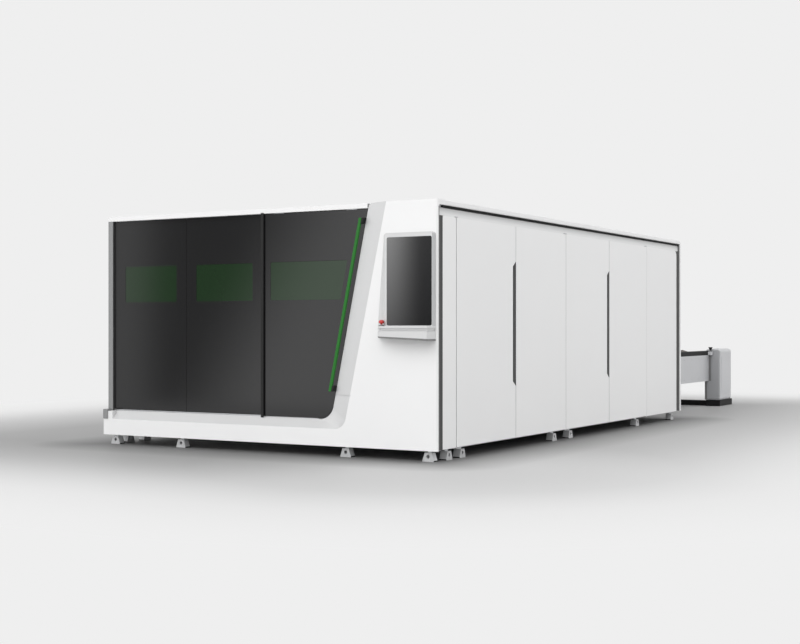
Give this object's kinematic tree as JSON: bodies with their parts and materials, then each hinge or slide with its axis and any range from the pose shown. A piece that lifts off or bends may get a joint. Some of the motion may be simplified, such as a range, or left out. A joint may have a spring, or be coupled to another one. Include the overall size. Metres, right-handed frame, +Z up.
{
  "type": "fiber laser cutting machine",
  "caption": "Enclosed sheet-metal laser cutter: white housing, dark sliding front door, side touch screen, swing side doors, gantry with cutting head, and a pallet exchange table behind.",
  "frame": {"origin": "on the floor under the middle of the bounding box", "axes": "+X to the operator's right, +Y from the front doors towards the exchange table, +Z up"},
  "size_m": [3.79, 10.085, 2.255],
  "materials": {
    "white_paint": "satin powder coat",
    "grey_paint": "satin powder coat",
    "graphite_panel": "semi-gloss",
    "green_glass": "dark green laser-safety glass",
    "green_paint": "gloss",
    "black_paint": "satin",
    "black_plastic": "matte",
    "screen_glass": "gloss",
    "red_plastic": "gloss",
    "steel": "ground",
    "bed_paint": "satin",
    "frame_paint": "satin",
    "beam_aluminium": "anodised",
    "slat_steel": "mill",
    "foot_iron": "painted casting",
    "cabinet_paint": "textured powder coat"
  },
  "bodies": {
    "enclosure": {"front_frame": "white_paint", "left_jamb": "beam_aluminium", "rail_end_block": "grey_paint", "upper_door_rail": "beam_aluminium", "lower_door_rail": "steel", "front_panel_left": "graphite_panel", "front_panel_middle": "graphite_panel", "fixed_windows": "green_glass", "side_hoops": "white_paint", "side_headers": "grey_paint", "roof_panels": "white_paint", "roof_beams": "frame_paint", "frame_rails": "frame_paint", "frame_posts": "frame_paint", "pivot_tabs": "steel", "fixed_side_panels": "white_paint", "left_side_panels": "white_paint", "rear_wall": "white_paint", "console_housing": "white_paint", "touch_screen": "screen_glass", "keyboard_shelf": "white_paint", "levelling_feet": "foot_iron", "bed_beams": "bed_paint", "bed_cross_members": "bed_paint", "gantry_rails": "steel", "gantry_racks": "steel", "pallet_guides": "frame_paint", "scrap_trays": "steel", "electric_cabinet": "cabinet_paint", "laser_source": "cabinet_paint", "equipment_shelf": "frame_paint", "table_side_beams": "grey_paint", "table_top_rails": "black_paint", "table_cross_beams": "grey_paint", "end_posts": "grey_paint", "table_plinths": "black_paint", "pallet_stops": "black_paint"},
    "front_door": {"sliding_door": "graphite_panel", "door_window": "green_glass", "door_edge_seal": "beam_aluminium", "door_handle_bar": "green_paint", "door_handle_brackets": "black_plastic", "door_hangers": "steel"},
    "side_door_a": {"side_door_1": "white_paint"},
    "side_door_b": {"side_door_2": "white_paint"},
    "side_door_c": {"side_door_3": "white_paint"},
    "side_door_d": {"side_door_4": "white_paint"},
    "stop_button": {"estop_button": "red_plastic"},
    "drawer": {"keyboard_drawer": "white_paint"},
    "gantry": {"gantry_beam": "beam_aluminium", "gantry_saddles": "bed_paint", "gantry_motors": "black_paint", "cross_rails": "steel"},
    "cross_carriage": {"carriage": "grey_paint"},
    "z_axis": {"z_slide": "beam_aluminium", "cutting_head": "cabinet_paint"},
    "upper_pallet": {"upper_pallet_frame": "bed_paint", "upper_pallet_slats": "slat_steel"},
    "lower_pallet": {"lower_pallet_frame": "bed_paint", "lower_pallet_slats": "slat_steel"}
  },
  "joints": [
    {"name": "front_door_slide", "type": "slide", "parent": "enclosure", "child": "front_door", "axis": [-1, 0, 0], "range_m": [0, 0.95]},
    {"name": "side_door_a_hinge", "type": "hinge", "parent": "enclosure", "child": "side_door_a", "pos_m": [1.881, -4.5355, 1.1], "axis": [0, 0, -1], "range_deg": [0, 110]},
    {"name": "side_door_b_hinge", "type": "hinge", "parent": "enclosure", "child": "side_door_b", "pos_m": [1.881, -2.1445, 1.1], "axis": [0, 0, 1], "range_deg": [0, 90]},
    {"name": "side_door_c_hinge", "type": "hinge", "parent": "enclosure", "child": "side_door_c", "pos_m": [1.881, -2.1205, 1.1], "axis": [0, 0, -1], "range_deg": [0, 90]},
    {"name": "side_door_d_hinge", "type": "hinge", "parent": "enclosure", "child": "side_door_d", "pos_m": [1.881, 0.2745, 1.1], "axis": [0, 0, 1], "range_deg": [0, 110]},
    {"name": "stop_button_press", "type": "slide", "parent": "enclosure", "child": "stop_button", "axis": [0, 0, -1], "range_m": [0, 0.005], "stiffness_N_per_m": 800, "springref_m": -0.002},
    {"name": "drawer_slide", "type": "slide", "parent": "enclosure", "child": "drawer", "axis": [0, -1, 0], "range_m": [0, 0.18]},
    {"name": "gantry_travel", "type": "slide", "parent": "enclosure", "child": "gantry", "axis": [0, -1, 0], "range_m": [0, 3.7]},
    {"name": "carriage_travel", "type": "slide", "parent": "gantry", "child": "cross_carriage", "axis": [1, 0, 0], "range_m": [-1, 1]},
    {"name": "head_height", "type": "slide", "parent": "cross_carriage", "child": "z_axis", "axis": [0, 0, -1], "range_m": [0, 0.17]},
    {"name": "pallet_exchange", "type": "slide", "parent": "enclosure", "child": "upper_pallet", "axis": [0, -1, 0], "range_m": [0, 4.9]},
    {"name": "pallet_return", "type": "slide", "parent": "enclosure", "child": "lower_pallet", "axis": [0, 1, 0], "range_m": [0, 4.9]}
  ],
  "couplings": [
    {"joint": "pallet_return", "follows": "pallet_exchange", "ratio": 1}
  ]
}
